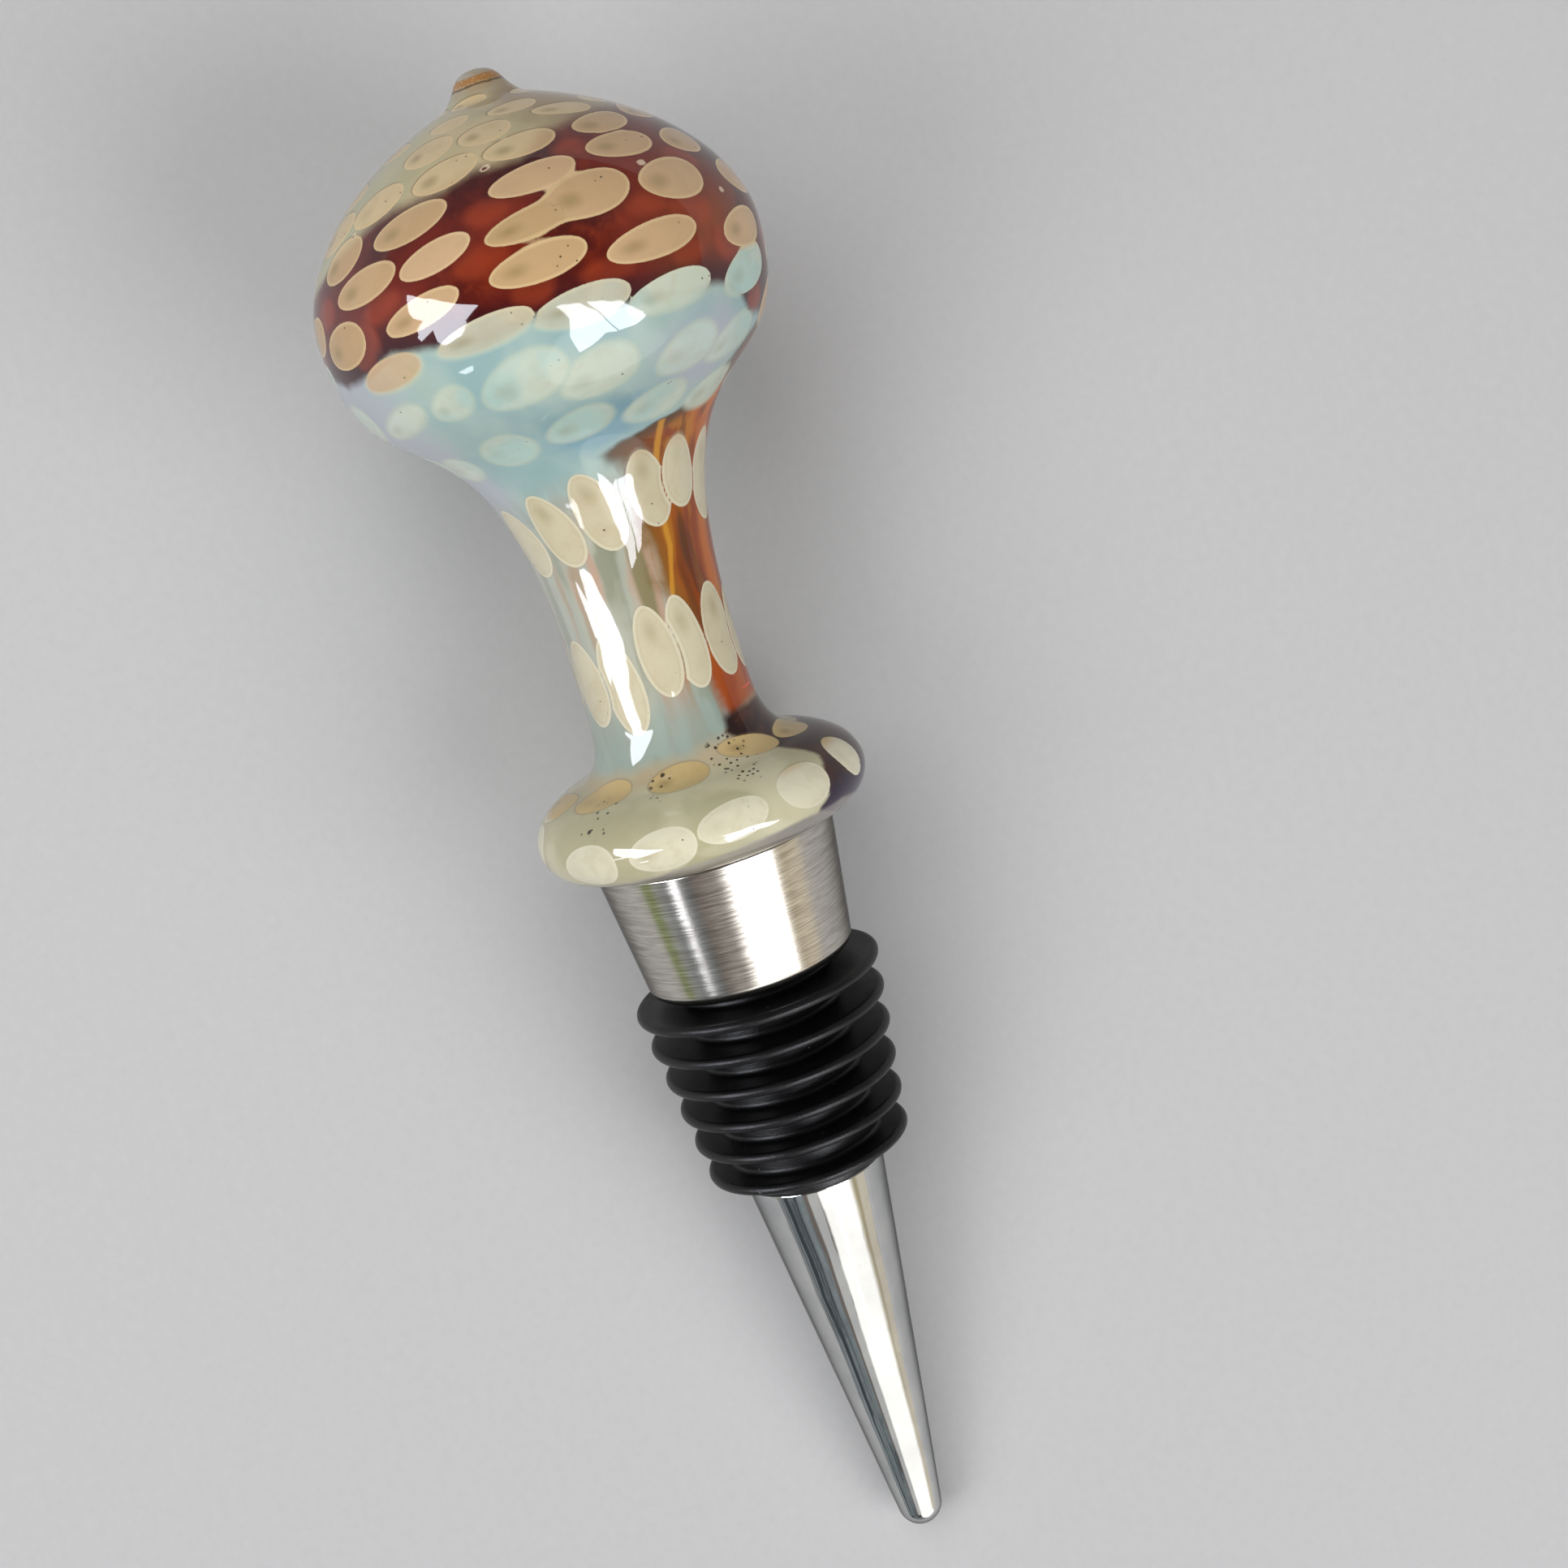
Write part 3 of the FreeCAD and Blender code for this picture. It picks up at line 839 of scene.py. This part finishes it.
def marked(paint, at, colour):
    # specks on the foot, the clear lip, bubbles with a painted highlight round their rims, and the
    # sealed ring of the nub
    own, high, fine = at.own, at.high, at.fine
    dust = own.moved((3.1, 7.7, 1.3)).cells(1.5) + (at.grain - 0.5) * 0.25
    crumbs = own.moved((0.4, 2.2, 5.9)).cells(0.5)
    dusty = paint.math("MAXIMUM", dust.rise(0.28, 0.2), crumbs.rise(0.2, 0.15))
    dusty = dusty * at.dusty.torn(fine, 0.7, 0.4, 0.6)
    lip = at.lip.torn(fine, 0.5, -0.15, 0.35) * 0.85
    lip = lip * (1 - at.inside * high.rise(0.9, 1.4))      # dots stay in front of it
    clear = at.cloud.rise(0.3, 0.7).blend(*marks["lip"])
    lipLine = high.torn(fine, 0.6, 1.0, 0.3)
    clear = (lipLine * 0.6).blend(clear, marks["lipLine"])
    crackle = own.cells(3.2).rise(0.3, 0.05)
    sealLine = (high + (fine - 0.5) * 0.7 - marks["sealLineHeight"]).near(0.16, 0.04)
    return colour.coats([
        (dusty * 0.9, marks["dust"]),
        (lip, clear),
        # painted highlight round each bubble's rim
        (at.bubble.rise(0.16, 0.02) * 0.8, marks["bubbleHighlight"]),
        (at.bubble.rise(-0.06, -0.16), marks["bubble"]),
        (high.rise(73.6, 74.8) * 0.85, fine.rise(0.4, 0.62).blend(*marks["nub"])),
        (at.seal * 0.8, (crackle * 0.8).blend(*marks["seal"])),
        (sealLine * 0.8, marks["sealLine"]),
    ])


def knobPaint(paint):
    # coloured bands, dots over them, marks over both, under one smooth clear skin
    at = known(paint)
    zones(at)
    ground = roundDots(at, groundColour(at))
    colour = at.covered.blend(ground, dotColour(paint, at))
    # relief in mm: lenses over the dots, a neck whose skin leans and swells a few degrees
    high = at.high
    lens = at.dotEdge.rise(0.3, -0.9) * (0.15 + 0.2 * high.rise(44, 38))
    relief = at.own.noise(0.12, 2, 0.4) * 0.05 + lens * 0.063
    relief = relief + at.swell - high.rise(14, 46) * 2.6
    relief = relief - high.rise(34, 44) * 0.8
    relief = relief + at.seal * 0.03 + at.bubble.rise(0.1, -0.2) * 0.01
    return {
        "Base Color": marked(paint, at, colour),
        "Roughness": 0.03 + 0.04 * at.grain * at.covered + 0.12 * at.seal,
        "Normal": paint.bump(relief, 0.001),
    }


knobGlass = finish("art_glass", {"IOR": 1.52}, knobPaint)
knobGrid = Turned(knobOutline(), knob["columns"])
knobGrid.piece("knob_glass", knobGlass, knobFields(knobGrid), "glass_knob")


# Metal: collar, hidden core and cone

metal = {
    "columns": 256, "joint": -0.25, "edge": 0.35, "edgeRound": 0.15, "collarTop": 12.35,
    "collarEnd": -14.6, "lean": 7.1, "collarRound": 1.3, "core": 5.6,
    "shoulder": (7.25, -36.85), "shoulderRound": 0.2, "tipRadius": 2.35, "tipEnd": -79.4,
    "satinFrom": -20, "collarTones": ("#aca69e", "#d6d2ca"), "coneTones": ("#cfcfcd", "#c0c1c1"),
    "scuffTone": "#96999c", "grazingTone": "#a2a2a2",
}


def metalOutline():
    # round end, straight cone, core, collar with its rounded lower edge, flat top
    lean = tan(radians(metal["lean"]))
    edgeHeight = metal["joint"] - metal["edge"]
    edgeRadius = metal["collarTop"] + edgeHeight * lean
    lowRadius = metal["collarTop"] + metal["collarEnd"] * lean
    tip = np.array([0, metal["tipEnd"] + metal["tipRadius"]])
    side = touch(np.array(metal["shoulder"]), tip, metal["tipRadius"], -1)
    end = arc(tip, metal["tipRadius"], -90, side, 16)
    rest = bent([
        (end[-1][0], end[-1][1], 0),
        (*metal["shoulder"], metal["shoulderRound"]),
        (metal["core"], metal["shoulder"][1], 0),
        (metal["core"], metal["collarEnd"], 0),
        (lowRadius, metal["collarEnd"], metal["collarRound"]),
        (edgeRadius, edgeHeight, metal["edgeRound"]),
        (edgeRadius - metal["edge"], metal["joint"], metal["edgeRound"]),
        (0, metal["joint"], 0),
    ], 0.8)
    return np.concatenate([end, rest[1:]])


def aroundField(grid):
    # direction round the axis, -sin(turn) up + cos(turn) side
    angle = np.radians(grid.turn)[..., None]
    return np.cos(angle) * acrossSide - np.sin(angle) * acrossUp


def metalPaint(paint):
    # satin collar, whose brushing leans the surface by the share of two streaky noises
    # along the direction round the axis, and a polished cone with a few scuffs
    own = paint.field("own", "Vector")
    satin = own.height().rise(metal["satinFrom"], metal["satinFrom"] + 1)
    hairs = own.scaled((0.12, 0.12, 5.0)).noise(1.0, 3, 0.75)
    broken = own.scaled((0.4, 0.4, 7.5)).noise(1.0, 2, 0.6)
    smear = own.noise(0.22, 2, 0.5)
    wobble = own.noise(0.085, 1, 0.4)
    scuff = own.scaled((1.6, 1.6, 0.5)).noise(1.0, 3, 0.7)
    around = paint.field("around", "Vector")
    lean = (hairs - 0.5) * 0.75 + (broken - 0.5) * 0.55
    share = lean * satin * 0.065
    shares = paint.node("ShaderNodeCombineXYZ", {}, {0: share, 1: share, 2: share})
    leaning = around.scaled(shares)
    flat = paint.node("ShaderNodeNewGeometry", {}, {}, "Normal")
    brushed = paint.vector("NORMALIZE", flat.moved(leaning))
    brushing = (hairs * 0.6 + broken * 0.4).rise(0.36, 0.64)
    collar = brushing.blend(*metal["collarTones"])
    cone = smear.rise(0.3, 0.75).blend(*metal["coneTones"])
    cone = (scuff.rise(0.6, 0.72) * 0.2).blend(cone, metal["scuffTone"])
    collarRough = 0.15 + 0.08 * broken
    coneRough = 0.03 + 0.05 * scuff.rise(0.5, 0.75)
    return {
        "Base Color": satin.blend(cone, collar),
        "Roughness": collarRough * satin + coneRough * (1 - satin),
        "Normal": paint.bump((smear * 0.1 + wobble) * (1 - satin), 0.0003, 1.0, brushed),
    }


# the tint darkens what the metal mirrors at grazing edges, so the cone stands out
steel = finish("satin_steel", {"Metallic": 1.0, "Specular Tint": tone(metal["grazingTone"])},
               metalPaint)
metalGrid = Turned(metalOutline(), metal["columns"])
metalGrid.piece("stopper_metal", steel, {"around": aroundField(metalGrid)}, "metal_stopper")


# Rubber sleeve with its fins

sleeve = {
    "columns": 256, "top": -14.6, "end": -36.85, "inside": 5.6, "outside": 7.6, "fins": 6,
    "pitch": 3.67, "firstRim": -16.3, "firstRadius": 12.7, "taper": 6.6, "rim": 0.55,
    "root": 0.85, "rise": 0.45, "fillet": 0.5, "endRound": 0.3, "topRound": 0.1,
    "tones": ("#050506", "#0b0b0c"), "grainTone": "#19191a", "lintTone": "#8d8b88",
}


def sleeveOutline():
    # tube with fins: each rim is an arc, its sides touch it from the root, and its
    # radius falls by pitch * tan(taper) from fin to fin
    outside = sleeve["outside"]
    places = [(sleeve["inside"], sleeve["end"], 0), (outside, sleeve["end"], sleeve["endRound"])]
    for i in reversed(range(sleeve["fins"])):
        reach = sleeve["firstRadius"] - i * sleeve["pitch"] * tan(radians(sleeve["taper"]))
        center = np.array([reach - sleeve["rim"], sleeve["firstRim"] - i * sleeve["pitch"]])
        root = center[1] - sleeve["rise"]
        lower = np.array([outside, root - sleeve["root"]])
        upper = np.array([outside, root + sleeve["root"]])
        angles = touch(lower, center, sleeve["rim"], 1), touch(upper, center, sleeve["rim"], -1)
        places.append((*lower, sleeve["fillet"]))
        places += [(*spot, 0) for spot in arc(center, sleeve["rim"], *angles, 16)]
        places.append((*upper, sleeve["fillet"]))
    places += [(outside, sleeve["top"], sleeve["topRound"]), (sleeve["inside"], sleeve["top"], 0)]
    return bent(places, 0.9, closed=True)


def rubberPaint(paint):
    # black with a moulded grain, and a little lint where a slow noise is high
    own = paint.field("own", "Vector")
    grain = own.noise(4.0, 3, 0.7)
    cloud = own.noise(0.4, 3, 0.6)
    lint = own.cells(0.75).rise(0.09, 0.04)
    lint = lint * own.noise(0.6, 1).rise(0.5, 0.56)
    moulded = own.scaled((0.25, 0.25, 6.0)).noise(1.0, 2, 0.6)
    return {
        "Base Color": cloud.rise(0.35, 0.7).blend(*sleeve["tones"]).coats([
            (grain.rise(0.6, 0.8) * 0.35, sleeve["grainTone"]),
            (lint * 0.6, sleeve["lintTone"]),
        ]),
        "Roughness": 0.26 + 0.14 * cloud + 0.1 * grain,
        "Normal": paint.bump(grain * 0.7 + moulded * 0.3, 0.00006, 0.8),
    }


rubber = finish("black_rubber", {"Specular IOR Level": 0.3}, rubberPaint)
sleeveGrid = Turned(sleeveOutline(), sleeve["columns"], closed=True)
sleeveGrid.piece("sleeve_rubber", rubber, {}, "rubber_sleeve")


# Glue between the foot and the collar, the CAD node with its own finish

glueLook = {"tones": ("#cfcabb", "#e2dfd4"), "coat": 0.5, "coatRough": 0.1}


def gluePaint(paint):
    # cloudy clear glue; the noise is read in metres
    own = paint.coordinates("Object")
    cloud = own.noise(600, 3, 0.6)
    return {
        "Base Color": cloud.rise(0.35, 0.7).blend(*glueLook["tones"]),
        "Roughness": 0.15 + 0.2 * cloud,
        "Normal": paint.bump(cloud, 0.00003, 0.5),
    }


coat = {"Coat Weight": glueLook["coat"], "Coat Roughness": glueLook["coatRough"]}
glue = finish("clear_glue", coat, gluePaint)
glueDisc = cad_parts["glue_disc"]
glueDisc.data.materials.clear()
glueDisc.data.materials.append(glue)
print("glue dressed")


# Table, lamps and room

table = {
    "tones": ("#b3b3b4", "#bcbcbd"), "farTone": "#c4c4c5", "half": 3,
    "glowStart": 0.08, "glowFull": 0.5,     # distance from the middle, in metres
}
# azimuth, elevation, width and height in metres, radiance
lamps = {
    "softbox_left": (100, 42, 0.36, 0.3, 4.9),
    "softbox_right": (-132, 40, 0.4, 0.34, 4.9),
    "softbox_top": (30, 62, 0.55, 0.45, 2.5),
}
lampAim, lampAway = (0.03, 0, 0.03), 0.6
# window panes: radiance, and outline in (azimuth, elevation) seen from the bulb
panes = {
    "pane_left": (15, [
        (67, 22), (73, 36), (89, 49), (109, 58), (110, 47), (112, 43), (110, 35), (107, 31),
        (102, 32), (102, 23), (100, 22), (100, 30), (90, 25), (79, 23),
    ]),
    "pane_left_edge": (11, [(125, 26), (127, 31), (129, 34), (131, 31), (129, 27)]),
    "pane_right": (15, [
        (-162, 70), (-140, 63), (-137, 55), (-140, 46), (-143, 36), (-148, 41), (-159, 39),
        (-168, 38), (-167, 53), (-158, 61), (-158, 65),
    ]),
    "pane_right_edge": (15, [
        (-135, 60), (-128, 54), (-124, 42), (-127, 33), (-128, 28), (-134, 30), (-142, 36),
        (-139, 46), (-136, 54),
    ]),
}
paneAim, paneAway, paneTone = (0.058, -0.008, 0.045), 4, "#f3f5ff"


def floorPaint(paint):
    # far from the lamps the table looks as pale as near them, but lights nothing:
    # it glows only for camera, glossy and transmission rays
    own = paint.coordinates("Object")
    grain = own.noise(900, 3, 0.6)
    away = paint.vector("LENGTH", own, output="Value")
    far = away.rise(table["glowStart"], table["glowFull"])
    seen = paint.ray("Is Camera Ray") + paint.ray("Is Glossy Ray")
    glow = far * paint.math("MINIMUM", seen + paint.ray("Is Transmission Ray"), 1.0)
    return {
        "Base Color": far.blend(grain.blend(*table["tones"]), "#000000"),
        "Emission Color": glow.blend("#000000", table["farTone"]),
        "Roughness": 0.5 + 0.15 * grain,
        "Normal": paint.bump(grain, 0.00005, 0.4),
    }


half = table["half"]
floorMesh = bpy.data.meshes.new("floor")
floorMesh.from_pydata([(-half, -half, 0), (half, -half, 0), (half, half, 0), (-half, half, 0)],
                      [], [(0, 1, 2, 3)])
floorMesh.materials.append(finish("floor", {"Specular IOR Level": 0.1, "Emission Strength": 1.0},
                                  floorPaint))
floor = added("floor", floorMesh)


def way(azimuth, elevation):
    # unit step (cos a cos e, sin a cos e, sin e)
    a, e = radians(azimuth), radians(elevation)
    return Vector((cos(a) * cos(e), sin(a) * cos(e), sin(e)))


def softbox(name, azimuth, elevation, width, height, radiance):
    # lamp at aim + away * way, power = radiance * pi * area; it isn't mirrored, the panes are
    data = bpy.data.lights.new(name, "AREA")
    data.shape = "RECTANGLE"
    data.size = width
    data.size_y = height
    data.energy = radiance * pi * width * height
    lamp = added(name, data)
    facing = way(azimuth, elevation)
    spot = Vector(lampAim) + facing * lampAway
    turned = facing.to_track_quat("Z", "Y").to_matrix().to_4x4()
    lamp.matrix_world = Matrix.Translation(spot) @ turned
    lamp.visible_camera = lamp.visible_glossy = False


def pane(name, radiance, outline):
    # bright window pane that only shows in reflections: a fan of triangles round the
    # mean of its corners, each corner at aim + away * way
    material = bpy.data.materials.new(name)
    material.use_nodes = True
    tree = material.node_tree
    tree.nodes.clear()
    paint = Paint(tree)
    shine = paint.node("ShaderNodeEmission", {}, {"Color": tone(paneTone), "Strength": radiance})
    paint.feed(tree.nodes.new("ShaderNodeOutputMaterial").inputs["Surface"], shine)
    mesh = bpy.data.meshes.new(name)
    spots = [Vector(paneAim) + way(*spot) * paneAway for spot in outline]
    middle = sum(spots, Vector()) / len(spots)
    count = len(spots)
    mesh.from_pydata([middle] + spots, [], [(0, 1 + i, 1 + (i + 1) % count) for i in range(count)])
    mesh.materials.append(material)
    made = added(name, mesh)
    made.visible_camera = made.visible_diffuse = made.visible_shadow = False


for name, numbers in lamps.items():
    softbox(name, *numbers)
for name, (radiance, outline) in panes.items():
    pane(name, radiance, outline)
print("lamps", len(lamps), "panes", len(panes))

roomTones = {
    "walls": ("#8f8f92", "#625e5c"),     # low, and overhead
    "trees": ("#474e52", "#98a2a6"),
    "lighting": "#6c6c6d",     # what the room gives to matt surfaces is an even grey
    "behind": "#c8c8c9",       # what the camera sees of it
}
world = bpy.data.worlds.new("room")
bpy.context.scene.world = world
world.use_nodes = True
room = Paint(world.node_tree)
sky = room.coordinates("Generated")
trees = sky.noise(9.0, 4, 0.7).rise(0.4, 0.62).blend(*roomTones["trees"])
# Laid over the room, one after another: azimuth, elevation, cosine of the angle from
# there at which it starts and is full, colour
walls = [
    (155, 48, 0.8, 0.9, "#464140"),       # dark over the metal end
    (138, 18, 0.9, 0.97, trees),
    (92, 6, 0.8, 0.93, "#c3c3c4"),        # paler wall on the left
    (113, 4, 0.98, 0.995, "#8a9a52"),
    (160, 44, 0.955, 0.985, "#887e77"),
    (163, 38, 0.988, 0.994, "#dcdcda"),
    (-155, 28, 0.85, 0.885, [1.8, 1.77, 1.7, 1]),      # bright wall on the right
    (-116, 12, 0.92, 0.97, "#c3b696"),
    (-124, 2, 0.965, 0.985, "#ece2cf"),
]
light = sky.height().rise(0.5, 0.88).blend(*roomTones["walls"])
for azimuth, elevation, start, full, colour in walls:
    facing = room.vector("DOT_PRODUCT", sky, tuple(way(azimuth, elevation)), output="Value")
    light = facing.rise(start, full).blend(light, colour)
light = room.ray("Is Diffuse Ray").blend(light, roomTones["lighting"])
light = room.ray("Is Camera Ray").blend(light, roomTones["behind"])
background = world.node_tree.nodes["Background"]
room.feed(background.inputs["Color"], light)
background.inputs["Strength"].default_value = 1.0
bpy.context.scene.view_settings.view_transform = "Standard"

print("scene ready")
